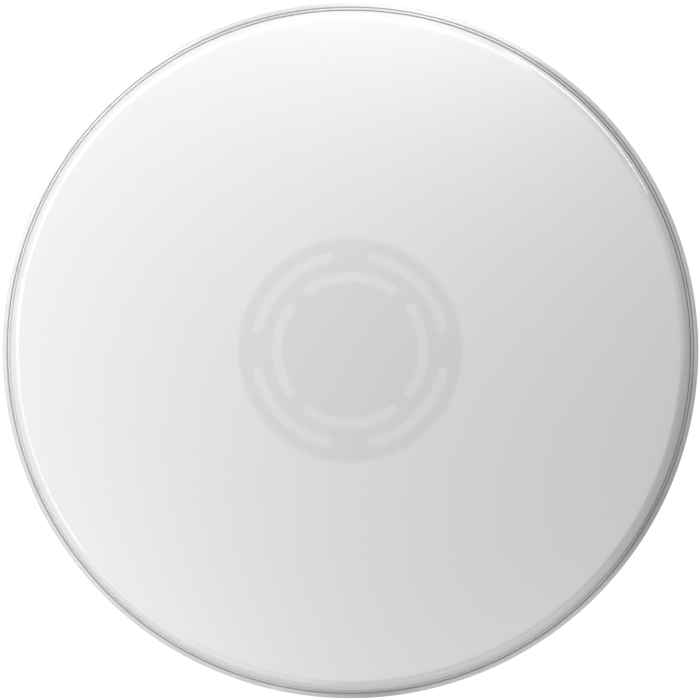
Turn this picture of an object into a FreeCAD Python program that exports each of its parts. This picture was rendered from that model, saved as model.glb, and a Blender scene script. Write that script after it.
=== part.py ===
import FreeCAD, Part
import math
import os

# A snare drum's batter head: a plastic film with a formed collar, its edge set in resin in a rolled
# aluminium hoop, a matte coating on the playing side, and a slotted dot bonded under the centre.
# Millimetres. Z points up out of the playing surface, and the hoop's underside is at Z 0.

# Drum that the head fits
shell_diameter = 355.6
shell_clearance = 0.8

# Hoop, one strip rolled into a channel that opens upwards, with a rounded shoulder outside its lip
strip_thickness = 0.75
hoop_height = 9.5
inner_wall_drop = 0.5
lip_rise = 1.0
shoulder_width = 3.6
shoulder_flat = 0.15
corner_inside_bend = 0.45
crevice_bend = 0.25
edge_break = 0.15

# Film, with its collar and the punched edge that stands in the channel
film_thickness = 0.254
collar_rise = 8.5
collar_setback = 3.5
crown_bend = 4.0
collar_flat = 0.3
foot_rise = 6.0
film_seat_gap = 0.146
film_floor_gap = 1.25
lip_gap = 0.4
anchor_hole_diameter = 3.0
anchor_hole_count = 72

# Resin that fills the channel round the film's edge, its level below the inner wall's broken edge
resin_drop = 0.15

# Coating on the playing side
coating_thickness = 0.04
coating_margin = 0.3

# Dot under the centre, with two rings of slots, and its adhesive
dot_diameter = 117.8
dot_thickness = 0.127
adhesive_thickness = 0.05
slots_per_ring = 4
outer_slot_inset = 8.9
outer_slot_width = 5.4
outer_slot_web = 18.3
slot_ring_pitch = 11.4
inner_slot_width = 5.3
inner_slot_web = 7.8

# Overrun of every cutting tool past the face that it cuts
cut_overrun = 1.0

# Radii of the channel's walls and of the film between them, from the shell outwards
bore_radius = shell_diameter / 2 + shell_clearance
film_inner_radius = bore_radius + strip_thickness + film_seat_gap
film_middle_radius = film_inner_radius + film_thickness / 2
lip_inner_radius = film_inner_radius + film_thickness + lip_gap
hoop_radius = lip_inner_radius + strip_thickness + shoulder_width

# Heights in the channel
shoulder_top = hoop_height - lip_rise
inner_wall_top = hoop_height - inner_wall_drop
resin_level = inner_wall_top - edge_break - resin_drop
film_edge_height = strip_thickness + film_floor_gap
anchor_hole_height = (film_edge_height + resin_level) / 2

# Heights of the crown's layers
film_top = hoop_height + collar_rise
film_underside = film_top - film_thickness
film_middle = film_top - film_thickness / 2
adhesive_underside = film_underside - adhesive_thickness
dot_underside = adhesive_underside - dot_thickness

# Radii of the dot's two rings of slots
outer_slot_ring_radius = dot_diameter / 2 - outer_slot_inset
inner_slot_ring_radius = outer_slot_ring_radius - slot_ring_pitch


def unit(vector):
    return FreeCAD.Vector(vector).normalize()


def section_point(radius, height):
    return FreeCAD.Vector(radius, 0, height)


def left_of(direction):
    # The left-hand normal of a direction in the section plane
    return FreeCAD.Vector(-direction.z, 0, direction.x)


def offset_corners(points, bends, offset):
    # Corners and bend radii of a bent line moved sideways, to the left if the offset is positive
    directions = [unit(b - a) for a, b in zip(points, points[1:])]
    corners = [points[0] + left_of(directions[0]) * offset]
    radii = []
    for point, bend, before, after in zip(points[1:], bends, directions, directions[1:]):
        left_before = left_of(before)
        left_after = left_of(after)
        miter = (left_before + left_after) / (1 + left_before.dot(left_after))
        corners.append(point + miter * offset)
        turns_left = left_before.dot(after) > 0
        radii.append(bend - offset if turns_left else bend + offset)
    corners.append(points[-1] + left_of(directions[-1]) * offset)
    return corners, radii


def rounded_face(corners, radii):
    # A face with straight sides, each corner rounded to its radius, or left sharp at 0
    edges = []
    starts = []
    ends = []
    for i, (corner, radius) in enumerate(zip(corners, radii)):
        if radius == 0:
            starts.append(corner)
            ends.append(corner)
            continue
        before = unit(corner - corners[i - 1])
        after = unit(corners[(i + 1) % len(corners)] - corner)
        half_turn = before.getAngle(after) / 2
        reach = radius * math.tan(half_turn)
        sagitta = radius / math.cos(half_turn) - radius
        start = corner - before * reach
        end = corner + after * reach
        middle = corner + unit(after - before) * sagitta
        edges.append(Part.Arc(start, middle, end).toShape())
        starts.append(start)
        ends.append(end)
    for end, start in zip(ends, starts[1:] + starts[:1]):
        edges.append(Part.LineSegment(end, start).toShape())
    return Part.Face(Part.Wire(Part.__sortEdges__(edges)))


def strip_face(points, bends, thickness, end_break):
    # The section of a strip of even thickness bent along a line, with the corners of its ends broken
    left, left_radii = offset_corners(points, bends, thickness / 2)
    right, right_radii = offset_corners(points, bends, -thickness / 2)
    left_radii = [end_break] + left_radii + [end_break]
    right_radii = [end_break] + right_radii + [end_break]
    return rounded_face(left + right[::-1], left_radii + right_radii[::-1])


def revolve(face):
    return face.revolve(FreeCAD.Vector(), FreeCAD.Vector(0, 0, 1), 360)


def channel_line():
    # Middle line of the hoop's strip, from the inner wall's top round to the lip's top
    half = strip_thickness / 2
    inner = bore_radius + half
    outer = hoop_radius - half
    lip = lip_inner_radius + half
    shoulder = shoulder_top - half
    points = [
        section_point(inner, inner_wall_top),
        section_point(inner, half),
        section_point(outer, half),
        section_point(outer, shoulder),
        section_point(lip, shoulder),
        section_point(lip, hoop_height),
    ]
    corner = corner_inside_bend + half
    crevice = crevice_bend + half
    # The shoulder's bend takes up the shoulder's width, and no more of the outer wall than there is
    wall_left = shoulder - half - corner
    round_over = min(outer - lip - crevice - shoulder_flat, wall_left)
    return points, [corner, corner, round_over, crevice]


def flesh_hoop():
    points, bends = channel_line()
    return revolve(strip_face(points, bends, strip_thickness, edge_break))


def film_line():
    # Middle line of the film, from the centre over the collar and down into the channel
    points = [
        section_point(0, film_middle),
        section_point(shell_diameter / 2 - collar_setback, film_middle),
        section_point(film_middle_radius, hoop_height + foot_rise),
        section_point(film_middle_radius, film_edge_height),
    ]
    # The collar's bend takes up its slope, but for a flat stretch next to the crown's bend
    slope = points[2] - points[1]
    crown_turn = slope.getAngle(points[1] - points[0])
    collar_turn = slope.getAngle(points[3] - points[2])
    bend_reach = slope.Length - crown_bend * math.tan(crown_turn / 2) - collar_flat
    return points, [crown_bend, bend_reach / math.tan(collar_turn / 2)]


def anchor_holes():
    # Punched holes near the film's edge, which the resin runs through
    length = film_thickness + 2 * cut_overrun
    start = section_point(film_inner_radius - cut_overrun, anchor_hole_height)
    hole = Part.makeCylinder(anchor_hole_diameter / 2, length, start, FreeCAD.Vector(1, 0, 0))
    holes = []
    for i in range(anchor_hole_count):
        turned = hole.copy()
        turned.rotate(FreeCAD.Vector(), FreeCAD.Vector(0, 0, 1), 360 * i / anchor_hole_count)
        holes.append(turned)
    return holes


def drum_film():
    points, bends = film_line()
    sheet = revolve(strip_face(points, bends, film_thickness, 0))
    return sheet.cut(anchor_holes())


def hoop_resin(film):
    # The channel's inside, filled to just under the inner wall's top, round the film that stands in it
    points, bends = channel_line()
    corners, radii = offset_corners(points, bends, strip_thickness / 2)
    corners[0].z = resin_level
    corners[-1].z = resin_level
    filled = revolve(rounded_face(corners, [0] + radii + [0]))
    return filled.cut(film)


def crown_flat_radius():
    # Where the crown's bend into the collar begins
    points, bends = film_line()
    slope = unit(points[1] - points[0]).getAngle(unit(points[2] - points[1]))
    return points[1].x - bends[0] * math.tan(slope / 2)


def film_coating():
    radius = crown_flat_radius() - coating_margin
    return Part.makeCylinder(radius, coating_thickness, section_point(0, film_top))


def arc_slot(ring_radius, width, half_span, middle, underside, thickness):
    # A curved slot with round ends, cut right through a layer
    low = underside - cut_overrun
    inner = ring_radius - width / 2
    outer = ring_radius + width / 2
    first = middle - half_span
    last = middle + half_span

    def at(radius, angle):
        return FreeCAD.Vector(radius * math.cos(angle), radius * math.sin(angle), low)

    def end_cap(angle, outwards):
        # The tip of the round end lies half a width past the end of the ring's arc
        along = angle + outwards * math.pi / 2
        reach = FreeCAD.Vector(math.cos(along), math.sin(along), 0) * width / 2
        return Part.Arc(at(inner, angle), at(ring_radius, angle) + reach, at(outer, angle)).toShape()

    edges = [
        Part.Arc(at(outer, first), at(outer, middle), at(outer, last)).toShape(),
        end_cap(last, 1),
        Part.Arc(at(inner, first), at(inner, middle), at(inner, last)).toShape(),
        end_cap(first, -1),
    ]
    face = Part.Face(Part.Wire(Part.__sortEdges__(edges)))
    return face.extrude(FreeCAD.Vector(0, 0, thickness + 2 * cut_overrun))


def slot_ring(ring_radius, width, web, turn_pitch_share, underside, thickness):
    # Slots evenly round a ring with a web between neighbours, turned by a share of their pitch
    pitch = 2 * math.pi / slots_per_ring
    half_span = (pitch - (width + web) / ring_radius) / 2
    slots = []
    for i in range(slots_per_ring):
        middle = (i + turn_pitch_share) * pitch
        slots.append(arc_slot(ring_radius, width, half_span, middle, underside, thickness))
    return slots


def slotted_disc(underside, thickness):
    # The dot's outline at a height: the outer ring's slots lie over the inner ring's webs
    disc = Part.makeCylinder(dot_diameter / 2, thickness, section_point(0, underside))
    outer = slot_ring(outer_slot_ring_radius, outer_slot_width, outer_slot_web, 1 / 2, underside, thickness)
    inner = slot_ring(inner_slot_ring_radius, inner_slot_width, inner_slot_web, 0, underside, thickness)
    return disc.cut(outer + inner)


def dot_adhesive():
    return slotted_disc(adhesive_underside, adhesive_thickness)


def reverse_dot():
    return slotted_disc(dot_underside, dot_thickness)


def main():
    film = drum_film()
    nodes = {
        "flesh_hoop": flesh_hoop(),
        "drum_film": film,
        "hoop_resin": hoop_resin(film),
        "film_coating": film_coating(),
        "dot_adhesive": dot_adhesive(),
        "reverse_dot": reverse_dot(),
    }
    os.makedirs("parts", exist_ok=True)
    for name, shape in nodes.items():
        solids = shape.Solids
        shape = solids[0] if len(solids) == 1 else Part.makeCompound(solids)
        print(f"{name}: {len(solids)} solid, valid {shape.isValid()}, {shape.Volume:.1f} mm3")
        shape.exportStep(f"parts/{name}.step")


main()
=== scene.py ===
import bpy
import numpy as np
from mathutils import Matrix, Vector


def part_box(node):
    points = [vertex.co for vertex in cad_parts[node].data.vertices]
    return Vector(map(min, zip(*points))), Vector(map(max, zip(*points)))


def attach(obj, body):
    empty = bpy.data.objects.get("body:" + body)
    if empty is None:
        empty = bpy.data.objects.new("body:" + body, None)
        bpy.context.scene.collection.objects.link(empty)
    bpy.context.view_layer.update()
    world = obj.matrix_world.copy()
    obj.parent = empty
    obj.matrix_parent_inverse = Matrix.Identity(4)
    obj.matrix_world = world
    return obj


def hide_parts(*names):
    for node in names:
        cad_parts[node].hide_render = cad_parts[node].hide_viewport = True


# A drum head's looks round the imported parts. Lengths are in millimetres until a mesh or a node takes them.
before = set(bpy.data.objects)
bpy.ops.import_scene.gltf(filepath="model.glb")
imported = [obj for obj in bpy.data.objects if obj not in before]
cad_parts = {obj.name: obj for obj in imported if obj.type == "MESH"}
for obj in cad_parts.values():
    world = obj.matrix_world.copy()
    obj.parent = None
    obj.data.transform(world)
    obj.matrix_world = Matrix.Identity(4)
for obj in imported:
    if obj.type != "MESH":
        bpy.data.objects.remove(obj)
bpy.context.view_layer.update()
mm = 0.001
hoopLow, hoopHigh = (np.array(corner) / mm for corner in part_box("flesh_hoop"))
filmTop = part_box("drum_film")[1].z / mm
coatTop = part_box("film_coating")[1].z / mm
dotLow, dotHigh = (corner.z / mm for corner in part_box("reverse_dot"))
glueLow, glueHigh = (corner.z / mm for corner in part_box("dot_adhesive"))
print("frame loaded:", ", ".join(sorted(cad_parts)))


def bentLine(corners, bends, runSteps, arcStep):
    # Straight runs joined by arcs, as complex numbers, radius + height i, with the direction at each point.
    # An arc begins its bend times tan(half the turn) before the corner, and the direction turns evenly on
    # it. Each run has its own number of steps, and the steps on an arc are of arcStep degrees or less.
    ways = np.diff(corners) / abs(np.diff(corners))
    points, directions = [], []
    start = corners[0]
    for k, way in enumerate(ways):
        turn = np.angle(ways[k + 1] / way) if k < len(bends) else 0
        bend = bends[k] if k < len(bends) else 0
        end = corners[k + 1] - way * bend * np.tan(abs(turn) / 2)
        points.append(np.linspace(start, end, runSteps[k] + 1)[1 if k else 0:])
        directions.append(np.full(len(points[-1]), way))
        pivot = end + 1j * np.sign(turn) * way * bend
        t = np.linspace(0, turn, int(np.ceil(abs(turn) / np.radians(arcStep))) + 1)[1:]
        points.append(pivot + (end - pivot) * np.exp(1j * t))
        directions.append(way * np.exp(1j * t))
        start = points[-1][-1] if len(t) else end
    return np.concatenate(points), np.concatenate(directions)


def sweepRound(section, angles):
    # A section point goes round the axis: x = radius cos(angle), y = radius sin(angle), z = its height
    x = section.real * np.cos(angles)
    y = section.real * np.sin(angles)
    return np.stack(np.broadcast_arrays(x, y, section.imag), -1)


def roundWaves(angles, waves):
    # Sines round the axis, each with a weight, a count and a phase: their weighted sum over all the weights
    total = sum(weight * np.sin(count * angles + phase) for weight, count, phase in waves)
    return total / sum(weight for weight, count, phase in waves)


def gridQuads(rows, columns, closeRows=False):
    # Quads of a grid numbered row by row, whose columns go all the way round
    i, j = np.meshgrid(np.arange(rows if closeRows else rows - 1), np.arange(columns), indexing="ij")
    nextRow = (i + 1) % rows * columns
    nextColumn = (j + 1) % columns
    row = i * columns
    return np.stack([row + j, nextRow + j, nextRow + nextColumn, row + nextColumn], -1).reshape(-1, 4)


def poleFan(pole, ring):
    # Triangles from a pole to each pair of neighbours on the ring round it
    return np.stack([np.full(len(ring), pole), ring, np.roll(ring, -1)], -1)


def makePiece(name, points, quads, triangles, sharp=35):
    # The mesh of a closed surface, with edges sharp past an angle in degrees. If the volume that its faces
    # sweep from the origin is negative, they are turned.
    corners = np.concatenate([quads[:, [0, 1, 2]], quads[:, [0, 2, 3]], triangles])
    a, b, c = (points[corners[:, k]] for k in range(3))
    if np.einsum("ij,ij->", a, np.cross(b, c)) < 0:
        quads, triangles = quads[:, ::-1], triangles[:, ::-1]
    sizes = np.repeat([4, 3], [len(quads), len(triangles)])
    loops = np.concatenate([quads.ravel(), triangles.ravel()])
    mesh = bpy.data.meshes.new(name)
    mesh.vertices.add(len(points))
    mesh.vertices.foreach_set("co", (points * mm).astype(np.float32).ravel())
    mesh.loops.add(len(loops))
    mesh.loops.foreach_set("vertex_index", loops.astype(np.int32))
    mesh.polygons.add(len(sizes))
    mesh.polygons.foreach_set("loop_start", (np.cumsum(sizes) - sizes).astype(np.int32))
    mesh.update(calc_edges=True)
    mesh.shade_smooth()
    mesh.set_sharp_from_angle(angle=np.radians(sharp))
    piece = bpy.data.objects.new(name, mesh)
    bpy.context.scene.collection.objects.link(piece)
    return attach(piece, "root")


def thicken(points, normals, quads, triangles, half):
    # A sheet's two faces lie half its thickness from it along its normals, and a rim of quads joins them at
    # its open edges, which are the directed edges that no neighbouring face runs along the other way
    count = len(points)
    ends = np.concatenate([np.stack([f, np.roll(f, -1, 1)], -1).reshape(-1, 2) for f in (quads, triangles)])
    openEnds = ends[~np.isin(ends @ [count, 1], ends @ [1, count])]
    rim = np.concatenate([openEnds[:, ::-1], openEnds + count], 1)
    bothFaces = np.concatenate([points + normals * half, points - normals * half])
    allQuads = np.concatenate([quads, quads[:, ::-1] + count, rim])
    return bothFaces, allQuads, np.concatenate([triangles, triangles[:, ::-1] + count])


def addValues(piece, name, values):
    # A number for each point of a piece, which its material reads by name
    layer = piece.data.attributes.new(name, "FLOAT", "POINT")
    layer.data.foreach_set("value", values.astype(np.float32).ravel())


# The hoop is one strip of aluminium, rolled into a channel with a rounded shoulder outside its lip.
hoop = {
    "thickness": 0.75,
    "bore": 178.6,
    "lipInside": 180.15,
    "wallTop": 9.0,
    "shoulderTop": 8.5,
    "floorBend": 0.45,       # inside radius of the two bends at the floor
    "creviceBend": 0.25,     # outside radius where the shoulder turns up into the lip
    "shoulderFlat": 0.15,
    "edgeBreak": 0.15,       # radius of the corners of the strip's two ends
    "runSteps": [8, 5, 5, 1, 3],  # rows on each straight run, from the inner wall's top to the lip's
    "arcStep": 8,
    "endRows": 5,            # rows on the rounded corners of the strip's two ends
    "rowDigits": 5,          # decimals by which two rows are told apart
    "columns": 540,
    "wave": 0.04,            # how far the rolled outer wall dips in
    "waves": [(1, 3, 0.4), (1, 7, 2.0), (1, 16, 4.1)],
    "jointAngle": 252,       # where the strip's two ends meet
    "jointWidth": 0.09,
    "jointDepth": 0.1,
    "jointReach": 4,         # extra columns lie up to this many widths to each side of the joint
    "jointColumns": 25,
    "creviceRadius": 181.5,  # middle of the crevice that is pressed in beside the lip
    "creviceWidth": 0.3,
    "creviceDepth": 0.35,
    "lipRub": 1.2,           # how far the strip is worn from its end at the lip and at the inner wall
    "wallRub": 0.6,
    "wallRubShare": 0.5,     # the wall's wear next to the lip's
}


def makeHoop(s):
    half = s["thickness"] / 2
    outside = min(*hoopHigh[:2], *-hoopLow[:2])
    inner, outer, lip = s["bore"] + half, outside - half, s["lipInside"] + half
    shoulder = s["shoulderTop"] - half
    floorArc, creviceArc = s["floorBend"] + half, s["creviceBend"] + half
    shoulderArc = outer - lip - creviceArc - s["shoulderFlat"]
    radii = np.array([inner, inner, outer, outer, lip, lip])
    heights = np.array([s["wallTop"], half, half, shoulder, shoulder, hoopHigh[2]])
    bends = [floorArc, floorArc, shoulderArc, creviceArc]
    line, way = bentLine(radii + 1j * heights, bends, s["runSteps"], s["arcStep"])

    # Rows close to the strip's two ends, where its half thickness falls along a quarter circle
    run = np.concatenate([[0], np.cumsum(abs(np.diff(line)))])
    near = s["edgeBreak"] * (1 - np.cos(np.linspace(0, np.pi / 2, s["endRows"])))
    rows = np.unique(np.concatenate([run, near, run[-1] - near]).round(s["rowDigits"]))
    line, way = np.interp(rows, run, line), np.interp(rows, run, way)
    way /= abs(way)
    short = s["edgeBreak"] - np.minimum(np.minimum(rows, run[-1] - rows), s["edgeBreak"])
    thick = half - s["edgeBreak"] + np.sqrt(s["edgeBreak"] ** 2 - short ** 2)

    # Both sides of the strip lie its half thickness from the line, less a bell-shaped groove at the joint
    joint = np.radians(s["jointAngle"])
    widths = np.linspace(-s["jointReach"], s["jointReach"], s["jointColumns"])
    close = joint + widths * s["jointWidth"] / outside
    angles = np.unique(np.concatenate([np.linspace(0, 2 * np.pi, s["columns"], endpoint=False), close]))
    across = (angles - joint) * outside / s["jointWidth"]
    thick = thick[:, None] - s["jointDepth"] * np.exp(-across ** 2)
    aside = 1j * way[:, None] * thick
    section = np.concatenate([line[:, None] + aside, (line[:, None] - aside)[::-1]])

    # The outer wall dips in by slow waves round the hoop, by a share that grows from the lip outwards
    share = np.clip((section.real - lip) / (outside - lip), 0, 1) ** 2
    section = section - s["wave"] * share * (1 + roundWaves(angles, s["waves"])) / 2

    # The crevice beside the lip is pressed in along a bell curve of the distance from its middle
    away = abs(section - s["creviceRadius"] - 1j * s["shoulderTop"]) / s["creviceWidth"]
    crevice = np.exp(-away ** 2)
    section = section - 1j * s["creviceDepth"] * crevice
    points = sweepRound(section, angles)
    quads = gridQuads(*points.shape[:2], closeRows=True)
    piece = makePiece("rolledHoop", points.reshape(-1, 3), quads, np.empty((0, 3), int))

    # Distance along the strip for its rolling lines, wear near its two ends, and the crevice for its painted
    # shade and grime
    along = np.concatenate([rows, rows[::-1]])
    lipWear = np.clip(1 - (run[-1] - along) / s["lipRub"], 0, 1)
    wallWear = np.clip(1 - along / s["wallRub"], 0, 1)
    rub = lipWear + s["wallRubShare"] * wallWear
    addValues(piece, "strip", np.broadcast_to(along[:, None], points.shape[:2]))
    addValues(piece, "rub", np.broadcast_to(rub[:, None], points.shape[:2]))
    addValues(piece, "crevice", crevice)
    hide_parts("flesh_hoop")
    print("hoop:", len(piece.data.polygons), "faces")
    return piece


# The film is one sheet: a flat crown, a sloping collar, and an upright edge with a row of punched holes.
film = {
    "thickness": 0.254,
    "crownRadius": 174.3,    # corners of its middle line
    "edgeRadius": 179.623,
    "footHeight": 15.5,
    "edgeHeight": 2.0,
    "crownBend": 4.0,
    "collarFlat": 0.3,       # what the two bends leave of the slope between them
    "formedSlope": 42.0,     # slope in degrees of a narrow flat that forming leaves in the collar's bend
    "formedWidth": 1.1,
    "coarseRadius": 165,     # the crown's rows are wide apart out to here
    "runSteps": [6, 4, 2, 2, 3],
    "arcStep": 3,
    "holeCount": 72,
    "holeRadius": 1.5,
    "holeHeight": 5.35,
    "cellTop": 8.6,          # the holes' cells reach from the edge up to here
    "cellColumns": 8,
    "cellRows": 6,
    "cellRings": 6,          # rings of points from a cell's outline to its hole, and how they crowd there
    "ringPower": 0.7,
    "weldDigits": 4,         # decimals to which points that fall together agree
    "ripple": 0.012,         # waves that the forming leaves in the collar
    "waves": [(0.5, 13, 0.6), (0.3, 22, 2.1), (0.2, 41, 4.0)],
    "offCentre": 0.26,       # how far the film stands off the axis above the resin, and towards which side
    "offSide": 243,
    "leanTop": 10.8,         # height where it is fully off the axis
}


def filmLine(s, middle):
    # The middle line of the film's section, from the axis down to the holes' cells. The collar's bend
    # reaches up the slope to the crown's bend, and its radius is that reach over tan(half its turn).
    crown, foot = s["crownRadius"] + 1j * middle, s["edgeRadius"] + 1j * s["footHeight"]
    slope = foot - crown
    drop = -np.angle(slope)
    reach = abs(slope) - s["crownBend"] * np.tan(drop / 2) - s["collarFlat"]
    bend = reach / np.tan(np.pi / 4 - drop / 2)

    # The formed flat lies on the bend's tangent at its own slope, and the bend goes on, tighter, beside it
    tilt = np.radians(s["formedSlope"])
    halfTangents = np.tan([(tilt - drop) / 2, np.pi / 4 - tilt / 2])
    flatStart = foot - slope / abs(slope) * (reach - bend * halfTangents[0])
    flatEnd = foot - 1j * (reach - bend * halfTangents[1])
    tighter = bend - s["formedWidth"] / 2 / halfTangents
    corners = [1j * middle, s["coarseRadius"] + 1j * middle, crown, flatStart, flatEnd,
               s["edgeRadius"] + 1j * s["cellTop"]]
    return bentLine(corners, [0, s["crownBend"], *tighter], s["runSteps"], s["arcStep"])


def holeCells(s):
    # Each hole's cell goes from a rectangle to a circle: a point moves evenly from the rectangle's edge to
    # the circle's, straight towards the hole's middle. Across is along the edge, and up is along the axis.
    pitch = 2 * np.pi / s["holeCount"]
    wide = np.linspace(-pitch / 2, pitch / 2, s["cellColumns"] + 1)
    tall = np.linspace(s["edgeHeight"], s["cellTop"], s["cellRows"] + 1)
    upright = np.ones(s["cellRows"] - 1)
    level = np.ones(s["cellColumns"] + 1)
    turn = np.concatenate([wide, wide[-1] * upright, wide[::-1], wide[0] * upright])
    rise = np.concatenate([tall[0] * level, tall[1:-1], tall[-1] * level, tall[-2:0:-1]])
    across, up = turn * s["edgeRadius"], rise - s["holeHeight"]
    shrink = s["holeRadius"] / np.hypot(across, up)
    step = np.linspace(0, 1, s["cellRings"])[:, None] ** s["ringPower"]
    across = across * (1 - step + step * shrink)
    up = up * (1 - step + step * shrink)
    hole = np.arange(s["holeCount"])[:, None, None]
    angles = across / s["edgeRadius"] + hole * pitch
    points = sweepRound(s["edgeRadius"] + 1j * (up + s["holeHeight"]), angles)
    normals = sweepRound(np.ones(up.shape), angles)
    quads = hole * across.size + gridQuads(*across.shape)[:, ::-1]
    return points.reshape(-1, 3), normals.reshape(-1, 3), quads.reshape(-1, 4)


def makeFilm(s):
    # The middle line goes round the axis, without its first point, which is the crown's pole
    half = s["thickness"] / 2
    middle = filmTop - half
    columns = s["holeCount"] * s["cellColumns"]
    angles = (np.arange(columns) / columns - 0.5 / s["holeCount"]) * 2 * np.pi
    line, way = (part[1:, None] for part in filmLine(s, middle))

    # The collar's waves stand out of it along its normal, and fade at the crown and at the hoop
    share = np.clip((line.real - s["crownRadius"]) / (s["edgeRadius"] - s["crownRadius"]), 0, 1)
    ripple = s["ripple"] * np.sin(np.pi * share) ** 2 * roundWaves(angles, s["waves"])
    section = line + 1j * way * ripple
    sheet = sweepRound(section, angles)
    normals = sweepRound(1j * way, angles)

    # The whole sheet stands to one side, by a share that grows evenly from the resin to the lean's top
    lean = np.clip((section.imag - s["cellTop"]) / (s["leanTop"] - s["cellTop"]), 0, 1)
    side = np.radians(s["offSide"])
    sheet[..., :2] += s["offCentre"] * lean[..., None] * np.array([np.cos(side), np.sin(side)])

    # The crown's pole, the turned sheet and the cells, with points that fall together made one
    cells, cellNormals, cellQuads = holeCells(s)
    points = np.concatenate([[[0, 0, middle]], sheet.reshape(-1, 3), cells])
    normals = np.concatenate([[[0, 0, 1]], normals.reshape(-1, 3), cellNormals])
    quads = np.concatenate([gridQuads(*sheet.shape[:2]) + 1, cellQuads + 1 + sheet[..., 0].size])
    fan = poleFan(0, 1 + np.arange(columns))
    welded = points.round(s["weldDigits"])
    first, same = np.unique(welded, axis=0, return_index=True, return_inverse=True)[1:]
    same = same.ravel()
    piece = makePiece("formedFilm", *thicken(points[first], normals[first], same[quads], same[fan], half))
    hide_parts("drum_film")
    print("film:", len(piece.data.polygons), "faces")
    return piece


# The coat is sprayed on the crown, and thins out to a feathered edge just short of the collar.
coat = {
    "radius": 173.15,
    "feather": 1.1,
    "edgeThin": 0.97,        # share of the thickness that is gone at the very edge
    "edgeWander": 0.12,
    "waves": [(0.5, 5, 1.0), (0.3, 17, 3.0), (0.2, 39, 0.0)],
    "columns": 480,
    "crownRows": 6,
    "featherRows": 24,
    "sharp": 60,
}


def makeCoat(s):
    # Height falls from the coat's full thickness along half a cosine over the feather, to a wandering edge
    angles = np.linspace(0, 2 * np.pi, s["columns"], endpoint=False)
    edge = s["radius"] - s["edgeWander"] * (1 + roundWaves(angles, s["waves"])) / 2
    inward = np.linspace(0, 1, s["crownRows"] + 2)[1:-1]
    share = np.concatenate([inward, np.linspace(1, 2, s["featherRows"])])[:, None]
    radius = np.minimum(share, 1) * (edge - s["feather"]) + np.maximum(share - 1, 0) * s["feather"]
    thin = 0.5 - 0.5 * np.cos(np.pi * np.maximum(share - 1, 0))
    upper = sweepRound(radius + 1j * (coatTop - s["edgeThin"] * (coatTop - filmTop) * thin), angles)
    lower = sweepRound(radius[::-1] + 1j * filmTop, angles)
    rows = np.concatenate([upper, lower])
    count = rows[..., 0].size
    points = np.concatenate([rows.reshape(-1, 3), [[0, 0, coatTop], [0, 0, filmTop]]])
    ring = np.arange(s["columns"])
    fans = np.concatenate([poleFan(count, ring), poleFan(count + 1, count - 1 - ring)])
    piece = makePiece("sprayedCoat", points, gridQuads(*rows.shape[:2]), fans, s["sharp"])
    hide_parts("film_coating")
    print("coat:", len(piece.data.polygons), "faces")
    return piece


# The dot and its adhesive share one outline: a disc with two rings of four curved slots.
dot = {
    "radius": 58.9,
    "slots": 4,
    "inner": {"ring": 38.6, "width": 5.3, "web": 7.8, "turn": 0},
    "outer": {"ring": 50.0, "width": 5.4, "web": 18.3, "turn": 45},
    "slotColumns": 48,
    "webColumns": 12,
    "slotRows": 12,
    "coreRows": 5,           # rows inside the inner slots, between the rings and outside the outer slots
    "betweenRows": 4,
    "rimRows": 4,
}


def slotHalfSpan(s, ring):
    # Half the angle of a slot's arc: what the web and one slot width leave of the pitch, halved
    return np.pi / s["slots"] - (ring["width"] + ring["web"]) / ring["ring"] / 2


def slotBand(s, ring, turn):
    # Rows across a ring of slots. The round end of a slot takes from the web, at a radius, the angle whose
    # cosine is (radius^2 + ring^2 - (width / 2)^2) / (2 radius ring).
    pitch = 2 * np.pi / s["slots"]
    radius = ring["ring"] - ring["width"] / 2 * np.cos(np.linspace(0, np.pi, s["slotRows"] + 1))[:, None]
    cap = (radius ** 2 + ring["ring"] ** 2 - ring["width"] ** 2 / 4) / (2 * radius * ring["ring"])
    taken = np.arccos(np.clip(cap, -1, 1)) / (pitch / 2 - slotHalfSpan(s, ring))
    fromWeb = (turn - np.radians(ring["turn"])) % pitch - pitch / 2
    return radius * np.exp(1j * (turn - taken * fromWeb))


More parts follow.
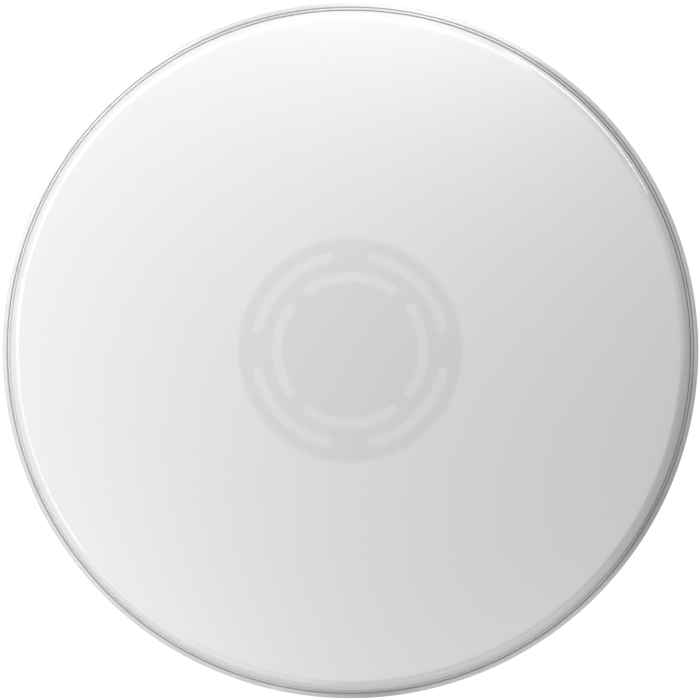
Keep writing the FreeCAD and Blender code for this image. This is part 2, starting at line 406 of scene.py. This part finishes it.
def dotOutline(s):
    # Columns that run along both rings' slots and webs: the outer ring's webs lie over the inner slots
    perSlot = s["slotColumns"] + s["webColumns"]
    innerHalf, outerHalf = slotHalfSpan(s, s["inner"]), slotHalfSpan(s, s["outer"])
    pitch = 2 * np.pi / s["slots"]
    middle = s["slotColumns"] / 2
    reach = int(round((pitch / 2 - outerHalf) / innerHalf * middle))
    column = np.arange(s["slots"] * perSlot)
    place = column % perSlot
    base = column // perSlot * pitch
    stops = [0, s["slotColumns"], perSlot]
    innerTurn = base + np.interp(place, stops, [-innerHalf, innerHalf, pitch - innerHalf])
    stops = [middle + reach - perSlot, middle - reach, middle + reach, middle - reach + perSlot]
    turns = [-pitch / 2 - outerHalf, outerHalf - pitch / 2, pitch / 2 - outerHalf, pitch / 2 + outerHalf]
    outerTurn = base + np.interp(place, stops, turns)

    # Rows from the centre outwards, along rays that bend from the inner ring's columns to the outer ring's
    innerBand = slotBand(s, s["inner"], innerTurn)
    outerBand = slotBand(s, s["outer"], outerTurn)
    coreRadius = np.linspace(0, abs(innerBand[0, 0]), s["coreRows"] + 1)[1:-1, None]
    core = coreRadius * np.exp(1j * innerTurn)
    mix = np.linspace(0, 1, s["betweenRows"] + 1)[1:-1, None]
    betweenRadius = abs(innerBand[-1, 0]) * (1 - mix) + abs(outerBand[0, 0]) * mix
    between = betweenRadius * np.exp(1j * (innerTurn * (1 - mix) + outerTurn * mix))
    rimRadius = np.linspace(abs(outerBand[-1, 0]), s["radius"], s["rimRows"] + 1)[1:, None]
    rim = rimRadius * np.exp(1j * outerTurn)
    rows = np.concatenate([core, innerBand, between, outerBand, rim])

    # Faces of every cell but those in the slots: in a ring's rows, only the columns of its webs stay
    quads = gridQuads(*rows.shape).reshape(len(rows) - 1, -1, 4)
    keep = np.ones(quads.shape[:2], bool)
    innerStart, outerStart = len(core), len(core) + len(innerBand) + len(between)
    keep[innerStart:innerStart + s["slotRows"]] = place >= s["slotColumns"]
    keep[outerStart:outerStart + s["slotRows"]] = abs(place + 0.5 - middle) < reach
    quads = quads[keep] + 1
    flat = np.concatenate([[0], rows.ravel()])
    fan = poleFan(0, 1 + np.arange(rows.shape[1]))
    used, order = np.unique(np.concatenate([quads.ravel(), fan.ravel()]), return_inverse=True)
    order = order.ravel()
    return flat[used], order[:quads.size].reshape(-1, 4), order[quads.size:].reshape(-1, 3)


def makeDotLayer(s, name, node, low, high):
    # The outline at the layer's middle height, thickened up and down to its two faces
    flat, quads, fan = dotOutline(s)
    points = np.stack([flat.real, flat.imag, np.full(len(flat), (low + high) / 2)], -1)
    upward = np.array([0.0, 0.0, 1.0])
    piece = makePiece(name, *thicken(points, upward, quads, fan, (high - low) / 2))
    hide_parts(node)
    print(name + ":", len(piece.data.polygons), "faces")
    return piece


rolledHoop = makeHoop(hoop)
formedFilm = makeFilm(film)
sprayedCoat = makeCoat(coat)
slottedDot = makeDotLayer(dot, "slottedDot", "reverse_dot", dotLow, dotHigh)
dotGlue = makeDotLayer(dot, "dotGlue", "dot_adhesive", glueLow, glueHigh)


def addNode(tree, kind, inputs=None, **settings):
    # A node with its settings, and for each input either a fixed value or a link from a socket
    made = tree.nodes.new(kind)
    for key, value in settings.items():
        setattr(made, key, value)
    for key, value in (inputs or {}).items():
        if isinstance(value, bpy.types.NodeSocket):
            tree.links.new(value, made.inputs[key])
        else:
            made.inputs[key].default_value = value
    return made


def calc(tree, operation, *values):
    return addNode(tree, "ShaderNodeMath", dict(enumerate(values)), operation=operation).outputs[0]


def fade(tree, value, start, end, low=0.0, high=1.0):
    # A smooth step from low to high as the value goes from start to end
    inputs = {"Value": value, "From Min": start, "From Max": end, "To Min": low, "To Max": high}
    return addNode(tree, "ShaderNodeMapRange", inputs, interpolation_type="SMOOTHSTEP").outputs["Result"]


noiseRange = (0.3, 0.7)      # most of a noise's values lie between these


def spread(tree, noise, low=0.0, high=1.0):
    # A noise's usual range, stretched to go from low to high
    return fade(tree, noise, *noiseRange, low, high)


def mixColour(tree, share, first, second):
    # A Mix node's colour sockets go by number, because those for other kinds of data have the same names
    return addNode(tree, "ShaderNodeMix", {0: share, 6: first, 7: second}, data_type="RGBA").outputs[2]


def grey(level, warmth=0.0):
    return (level * (1 + warmth), level, level * (1 - warmth), 1)


def addNoise(tree, place, scale, detail):
    inputs = {"Vector": place, "Scale": scale, "Detail": detail}
    return addNode(tree, "ShaderNodeTexNoise", inputs).outputs["Fac"]


def axesOf(tree, vector):
    return addNode(tree, "ShaderNodeSeparateXYZ", {0: vector}).outputs


def upness(tree):
    # How far a face looks up: the Z of its normal
    return axesOf(tree, addNode(tree, "ShaderNodeNewGeometry").outputs["Normal"])["Z"]


def pointValue(tree, name):
    return addNode(tree, "ShaderNodeAttribute", attribute_name=name).outputs["Fac"]


def newGroup(name, inputs, outputs):
    # An empty node group, with the names and kinds of its sockets
    group = bpy.data.node_groups.new(name, "ShaderNodeTree")
    for direction, sockets in (("INPUT", inputs), ("OUTPUT", outputs)):
        for label, kind in sockets.items():
            group.interface.new_socket(label, in_out=direction, socket_type="NodeSocket" + kind)
    return group, group.nodes.new("NodeGroupInput").outputs, group.nodes.new("NodeGroupOutput").inputs


def grainGroup():
    # Fine grain: cloudy noise of a given size, and a broader, fainter cloud for uneven colour
    group, inputs, outputs = newGroup(
        "fineGrain", {"Vector": "Vector", "Size mm": "Float", "Cloud mm": "Float"},
        {"Height": "Float", "Cloud": "Float"})
    for label, size, detail in (("Height", "Size mm", 3.0), ("Cloud", "Cloud mm", 4.0)):
        scale = calc(group, "DIVIDE", 1 / mm, inputs[size])
        group.links.new(addNoise(group, inputs["Vector"], scale, detail), outputs[label])
    return group


dustLook = {
    "speckScale": 900.0,
    "speckDetail": 2.0,
    "cloudScale": 25.0,
    "cloudDetail": 3.0,
    "specks": (0.52, 0.78),  # dust comes in between these values of each noise, and of a face's upness
    "clouds": (0.35, 0.7),
    "facing": (0.2, 0.9),
    "warmth": 0.03,
}


def dustGroup(look):
    # Light dust: specks thinned by a slow cloud, only on faces that look up
    group, inputs, outputs = newGroup(
        "lightDust", {"Vector": "Vector", "Amount": "Float"}, {"Mask": "Float"})
    speck = addNoise(group, inputs["Vector"], look["speckScale"], look["speckDetail"])
    cloud = addNoise(group, inputs["Vector"], look["cloudScale"], look["cloudDetail"])
    mask = inputs["Amount"]
    for value, limits in ((speck, "specks"), (cloud, "clouds"), (upness(group), "facing")):
        mask = calc(group, "MULTIPLY", mask, fade(group, value, *look[limits]))
    group.links.new(mask, outputs["Mask"])
    return group


fineGrain = grainGroup()
lightDust = dustGroup(dustLook)


def addGrain(tree, place, look):
    inputs = {"Vector": place, "Size mm": look["grain"], "Cloud mm": look["cloud"]}
    return addNode(tree, "ShaderNodeGroup", inputs, node_tree=fineGrain).outputs


def addDust(tree, place, tone, look):
    inputs = {"Vector": place, "Amount": look["dust"]}
    mask = addNode(tree, "ShaderNodeGroup", inputs, node_tree=lightDust).outputs["Mask"]
    return mixColour(tree, mask, tone, grey(look["dustTone"], dustLook["warmth"]))


def cloudyTone(tree, grain, look):
    # A look's own tone, and a duller one in its clouds
    plain = grey(look["tone"], look["warmth"])
    duller = grey(look["tone"] * look["dull"], look["dullWarmth"])
    return mixColour(tree, spread(tree, grain["Cloud"]), plain, duller)


def newMaterial(name, **fixed):
    # A material with its shader, whose fixed values sit on the shader's own sockets, and Object coordinates
    material = bpy.data.materials.new(name)
    material.use_nodes = True
    tree = material.node_tree
    shader = tree.nodes["Principled BSDF"]
    for key, value in fixed.items():
        shader.inputs[key.replace("_", " ")].default_value = value
    place = addNode(tree, "ShaderNodeTexCoord").outputs["Object"]
    return material, tree, shader, place


def setSurface(tree, shader, tone, rough, height, look):
    # The shader's colour and roughness, and bump from a height, with its depth in millimetres
    inputs = {"Strength": look["bump"], "Distance": look["bumpDepth"] * mm, "Height": height}
    normal = addNode(tree, "ShaderNodeBump", inputs).outputs["Normal"]
    for key, socket in (("Base Color", tone), ("Roughness", rough), ("Normal", normal)):
        tree.links.new(socket, shader.inputs[key])


coatLook = {
    "tone": 0.825,
    # painted shade: the dot's shadow in light that comes up through the film
    "dotShadowTone": 0.748,        # tone where the dot shows through
    "warmth": 0.002,
    "cloudTone": 0.6,
    "cloudShare": 0.012,
    "roughness": (0.76, 0.88),
    "grain": 0.45,           # sizes of the grain and of the clouds
    "cloud": 22.0,
    "dust": 0.03,
    "dustTone": 0.7,
    "bump": 0.35,
    "bumpDepth": 0.03,
    "dotSoft": 1.9,          # half width of the dot's soft edge through the film
    "slotSoft": 1.1,
    "slotShare": 0.77,       # how much of the bare tone a slot gives back
}


def radiusOf(tree, flat):
    # Distance from the axis in millimetres: the square root of x^2 + y^2
    square = calc(tree, "ADD", *(calc(tree, "MULTIPLY", flat[axis], flat[axis]) for axis in ("X", "Y")))
    return calc(tree, "DIVIDE", calc(tree, "SQRT", square), mm)


def dotShadow(tree, place, look):
    # How much painted shade the dot gives at a point, as its shadow in light that comes up through the film:
    # 1 over the dot, less over a slot. A slot's distance is that to its arc, the square root of
    # r^2 + ring^2 - 2 r ring cos(angle past the arc's end), with the angle folded to one pitch.
    flat = axesOf(tree, place)
    radius = radiusOf(tree, flat)
    angle = calc(tree, "ARCTAN2", flat["Y"], flat["X"])
    shaded = fade(tree, radius, dot["radius"] - look["dotSoft"], dot["radius"] + look["dotSoft"], 1.0, 0.0)
    halfPitch = np.pi / dot["slots"]
    soft = look["slotSoft"]
    for ring in (dot["inner"], dot["outer"]):
        turned = calc(tree, "SUBTRACT", angle, np.radians(ring["turn"]))
        folded = calc(tree, "ABSOLUTE", calc(tree, "WRAP", turned, halfPitch, -halfPitch))
        past = calc(tree, "MAXIMUM", calc(tree, "SUBTRACT", folded, slotHalfSpan(dot, ring)), 0.0)
        twice = calc(tree, "MULTIPLY", radius, 2 * ring["ring"])
        reach = calc(tree, "MULTIPLY", twice, calc(tree, "COSINE", past))
        square = calc(tree, "ADD", calc(tree, "MULTIPLY", radius, radius), ring["ring"] ** 2)
        away = calc(tree, "SQRT", calc(tree, "MAXIMUM", calc(tree, "SUBTRACT", square, reach), 0.0))
        side = ring["width"] / 2
        solid = fade(tree, away, side - soft, side + soft, 1 - look["slotShare"], 1.0)
        shaded = calc(tree, "MULTIPLY", shaded, solid)
    return shaded


def coatMaterial(look):
    material, tree, shader, place = newMaterial("matteCoat")
    grain = addGrain(tree, place, look)
    bare, dotShadowTone = grey(look["tone"], look["warmth"]), grey(look["dotShadowTone"], look["warmth"])
    # The coat is darker over the dot: painted shade, the dot's shadow in light that comes up through the
    # film
    tone = mixColour(tree, dotShadow(tree, place, look), bare, dotShadowTone)
    uneven = spread(tree, grain["Cloud"], 0.0, look["cloudShare"])
    tone = addDust(tree, place, mixColour(tree, uneven, tone, grey(look["cloudTone"])), look)
    rough = spread(tree, grain["Height"], *look["roughness"])
    setSurface(tree, shader, tone, rough, grain["Height"], look)
    return material


filmLook = {
    "tone": 0.77,
    "warmth": 0.002,
    "dull": 0.97,            # share of the tone in its clouds
    "dullWarmth": 0.006,
    "roughness": (0.09, 0.11),
    "ior": 1.6,
    "grain": 1.6,
    "cloud": 35.0,
    "dust": 0.05,
    "dustTone": 0.72,
    "bump": 0.2,
    "bumpDepth": 0.004,
    "sprayEnd": 175.0,       # radius where the coat's overspray ends
    "sprayFacing": 0.5,      # upness from which a face has all of it
}


def filmMaterial(look):
    material, tree, shader, place = newMaterial("hazyFilm", IOR=look["ior"])
    grain = addGrain(tree, place, look)

    # Overspray from the coat thins out over the crown's bend, on the upper side only
    near = fade(tree, radiusOf(tree, axesOf(tree, place)), coat["radius"], look["sprayEnd"], 1.0, 0.0)
    spray = calc(tree, "MULTIPLY", near, fade(tree, upness(tree), 0.0, look["sprayFacing"]))
    coated = grey(coatLook["tone"], coatLook["warmth"])
    tone = mixColour(tree, spray, cloudyTone(tree, grain, look), coated)
    rougher = sum(coatLook["roughness"]) / 2 - look["roughness"][1]
    rough = calc(tree, "MULTIPLY_ADD", spray, rougher, spread(tree, grain["Height"], *look["roughness"]))
    setSurface(tree, shader, addDust(tree, place, tone, look), rough, grain["Height"], look)
    return material


hoopLook = {
    "tone": 0.89,
    "lineTone": 0.95,        # share of the tone in the rolling lines
    "linesPerMm": 9.0,
    "linesPerMetre": 40.0,   # how quickly the lines change along the hoop
    "lineDetail": 3.0,
    "roughness": (0.55, 0.66),
    "sheen": 0.75,
    "sheenTurn": 0.25,
    "grain": 0.8,
    "cloud": 28.0,
    "wornTone": 0.9,
    "wornShare": 0.6,
    "wornGrain": (0.35, 0.65),
    "wornFull": 1.2,         # wear that would give the worn tone its whole share
    "wornSmooth": 0.06,      # what wear takes from the roughness
    "dust": 0.06,
    "dustTone": 0.6,
    # painted shade with some grime in the crevice beside the lip: its share, tone, warmth and the crevice
    # values it spans
    "shadeAndGrime": 0.72,
    "shadeAndGrimeTone": 0.12,
    "shadeAndGrimeWarmth": 0.03,
    "shadeAndGrimeEdge": (0.1, 0.9),
    "bump": 0.4,
    "bumpDepth": 0.006,
}


def hoopMaterial(look):
    material, tree, shader, place = newMaterial(
        "satinAluminium", Metallic=1.0, Anisotropic=look["sheen"], Anisotropic_Rotation=look["sheenTurn"])
    flat = axesOf(tree, place)

    # The rolling runs round the axis, along (-y, x, 0), and the sheen spreads a quarter turn from it
    back = calc(tree, "MULTIPLY", flat["Y"], -1.0)
    rolled = addNode(tree, "ShaderNodeCombineXYZ", {"X": back, "Y": flat["X"]}).outputs[0]
    tangent = addNode(tree, "ShaderNodeVectorMath", {0: rolled}, operation="NORMALIZE").outputs[0]
    tree.links.new(tangent, shader.inputs["Tangent"])

    # Rolling lines: noise that changes quickly across the strip and slowly along the hoop
    across = calc(tree, "MULTIPLY", pointValue(tree, "strip"), look["linesPerMm"])
    x, y = (calc(tree, "MULTIPLY", flat[axis], look["linesPerMetre"]) for axis in ("X", "Y"))
    lined = addNode(tree, "ShaderNodeCombineXYZ", {"X": across, "Y": x, "Z": y}).outputs[0]
    lines = addNoise(tree, lined, 1.0, look["lineDetail"])
    tone = mixColour(tree, spread(tree, lines), grey(look["tone"] * look["lineTone"]), grey(look["tone"]))

    # Wear near the strip's ends, broken up by the grain, then dust, and painted shade with some grime in the
    # crevice
    grain = addGrain(tree, place, look)
    worn = calc(tree, "MULTIPLY", pointValue(tree, "rub"), fade(tree, grain["Height"], *look["wornGrain"]))
    rubbed = fade(tree, worn, 0.0, look["wornFull"], 0.0, look["wornShare"])
    tone = addDust(tree, place, mixColour(tree, rubbed, tone, grey(look["wornTone"])), look)
    # Painted shade: the crevice is darkened almost to black where shade falls in it, with some grime
    shadeAndGrime = fade(tree, pointValue(tree, "crevice"), *look["shadeAndGrimeEdge"], 0.0, look["shadeAndGrime"])
    tone = mixColour(tree, shadeAndGrime, tone, grey(look["shadeAndGrimeTone"], look["shadeAndGrimeWarmth"]))
    smoother = calc(tree, "MULTIPLY", worn, look["wornSmooth"])
    rough = calc(tree, "SUBTRACT", spread(tree, grain["Cloud"], *look["roughness"]), smoother)
    setSurface(tree, shader, tone, rough, lines, look)
    return material


resinLook = {
    "tone": 0.36,
    "warmth": 0.04,
    "dull": 0.85,
    "dullWarmth": 0.06,
    "roughness": (0.38, 0.53),
    "ior": 1.52,
    "grain": 0.7,
    "cloud": 9.0,
    "bubbleScale": 900.0,
    "bubbleEdge": (0.12, 0.22),
    "bubbleShare": 0.5,
    "bubbleTone": 0.66,
    "bubbleWarmth": 0.02,
    "bump": 0.3,
    "bumpDepth": 0.03,
}


def resinMaterial(look):
    material, tree, shader, place = newMaterial("castResin", IOR=look["ior"])
    grain = addGrain(tree, place, look)
    inputs = {"Vector": place, "Scale": look["bubbleScale"]}
    bubbles = addNode(tree, "ShaderNodeTexVoronoi", inputs).outputs["Distance"]
    inside = fade(tree, bubbles, *look["bubbleEdge"], look["bubbleShare"], 0.0)
    pale = grey(look["bubbleTone"], look["bubbleWarmth"])
    tone = mixColour(tree, inside, cloudyTone(tree, grain, look), pale)
    rough = spread(tree, grain["Height"], *look["roughness"])
    setSurface(tree, shader, tone, rough, bubbles, look)
    return material


dotLook = {
    "tone": 0.69,
    "warmth": 0.0,
    "dull": 0.97,
    "dullWarmth": 0.004,
    "roughness": (0.35, 0.48),
    "ior": 1.6,
    "grain": 0.5,
    "cloud": 18.0,
    "bump": 0.3,
    "bumpDepth": 0.012,
}
glueLook = {
    "tone": 0.78,
    "warmth": 0.02,
    "dull": 0.93,
    "dullWarmth": 0.03,
    "roughness": (0.6, 0.75),
    "ior": 1.47,
    "grain": 0.9,
    "cloud": 6.0,
    "bump": 0.3,
    "bumpDepth": 0.01,
}


def layerMaterial(name, look):
    material, tree, shader, place = newMaterial(name, IOR=look["ior"])
    grain = addGrain(tree, place, look)
    rough = spread(tree, grain["Height"], *look["roughness"])
    setSurface(tree, shader, cloudyTone(tree, grain, look), rough, grain["Height"], look)
    return material


for piece, material in (
    (sprayedCoat, coatMaterial(coatLook)),
    (formedFilm, filmMaterial(filmLook)),
    (rolledHoop, hoopMaterial(hoopLook)),
    (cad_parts["hoop_resin"], resinMaterial(resinLook)),
    (slottedDot, layerMaterial("satinDot", dotLook)),
    (dotGlue, layerMaterial("pressedGlue", glueLook)),
):
    piece.data.materials.clear()
    piece.data.materials.append(material)
print("materials:", len(bpy.data.materials))


# A plain pale floor under the hoop, and soft light from the room round it and from panels
studio = {
    "floorSize": 24.0,       # metres
    "floorDrop": 0.02,       # how far it lies under the hoop
    "floorTone": 0.35,
    "floorDull": 0.99,
    "floorRoughness": 0.9,
    "floorWhite": 0.85,      # what the camera sees the floor give off
    "grain": 1.5,            # sizes of the paper's grain and of its clouds
    "cloud": 160.0,
    "room": 0.396,           # strength of the room's even light
    "panels": [
        # name, azimuth, distance from the axis, height, the panel's width and height in metres, watts
        ("keyPanel", 150, 0.6, 0.3, 0.6, 0.3, 1.477),
        ("upperLeftPanel", 120, 0.4, 0.25, 0.3, 0.15, 0.373),
        ("leftPanel", 195, 0.4, 0.25, 0.3, 0.15, 0.373),
        ("rightPanel", 15, 1.5, 1.2, 1.0, 1.0, 3.65),
        ("upperStrip", 77, 0.3, 0.12, 0.22, 0.12, 0.203),
        ("lowRightStrip", 45, 0.5, 0.021, 0.31, 0.018, 0.115),
        ("lowerLeftStrip", 240, 0.3, 0.12, 0.3, 0.12, 0.15),
        ("lowerStrip", 300, 0.26, 0.05, 0.2, 0.06, 0.034),
    ],
}


def makeFloor(s):
    half = s["floorSize"] / 2
    corners = [(-half, -half), (half, -half), (half, half), (-half, half)]
    mesh = bpy.data.meshes.new("paleFloor")
    mesh.from_pydata([(x, y, -s["floorDrop"] * mm) for x, y in corners], [], [(0, 1, 2, 3)])
    floor = bpy.data.objects.new("paleFloor", mesh)
    bpy.context.scene.collection.objects.link(floor)
    material, tree, shader, place = newMaterial(
        "palePaper", Roughness=s["floorRoughness"], Emission_Color=grey(1.0))
    cloud = addGrain(tree, place, s)["Cloud"]
    tone = mixColour(tree, cloud, grey(s["floorTone"]), grey(s["floorTone"] * s["floorDull"]))
    tree.links.new(tone, shader.inputs["Base Color"])
    seen = addNode(tree, "ShaderNodeLightPath").outputs["Is Camera Ray"]
    tree.links.new(calc(tree, "MULTIPLY", seen, s["floorWhite"]), shader.inputs["Emission Strength"])
    mesh.materials.append(material)


def makePanels(s):
    for name, azimuth, reach, height, wide, tall, power in s["panels"]:
        lamp = bpy.data.lights.new(name, "AREA")
        lamp.shape = "RECTANGLE"
        lamp.size = wide
        lamp.size_y = tall
        lamp.energy = power
        panel = bpy.data.objects.new(name, lamp)
        turn = np.radians(azimuth)
        panel.location = (reach * np.cos(turn), reach * np.sin(turn), height)
        panel.rotation_euler = (-panel.location).to_track_quat("-Z", "Y").to_euler()
        panel.visible_camera = False
        bpy.context.scene.collection.objects.link(panel)


def makeRoom(s):
    world = bpy.data.worlds.new("paleRoom")
    world.use_nodes = True
    air = world.node_tree.nodes["Background"].inputs
    air["Color"].default_value = grey(1.0)
    air["Strength"].default_value = s["room"]
    bpy.context.scene.world = world
    bpy.context.scene.view_settings.view_transform = "Standard"


makeFloor(studio)
makePanels(studio)
makeRoom(studio)
print("studio:", len(studio["panels"]), "panels")


# The camera looks straight down, from a little up and left of the head's middle
view = {
    "height": 2.0,           # metres
    "aside": (-0.18, 0.16),
    "frameWidth": 371.05,    # width of the picture, in the plane at the frame's height
    "frameHeight": 5.3,
    "sensor": 36.0,
}


def makeCamera(s):
    # Lens over sensor width equals the distance to the framed plane over the plane's width in the picture
    lens = bpy.data.cameras.new("topCamera")
    lens.sensor_width = s["sensor"]
    lens.lens = s["sensor"] * (s["height"] / mm - s["frameHeight"]) / s["frameWidth"]
    camera = bpy.data.objects.new("topCamera", lens)
    camera.location = (s["aside"][0] * mm, s["aside"][1] * mm, s["height"])
    bpy.context.scene.collection.objects.link(camera)
    bpy.context.scene.camera = camera


makeCamera(view)
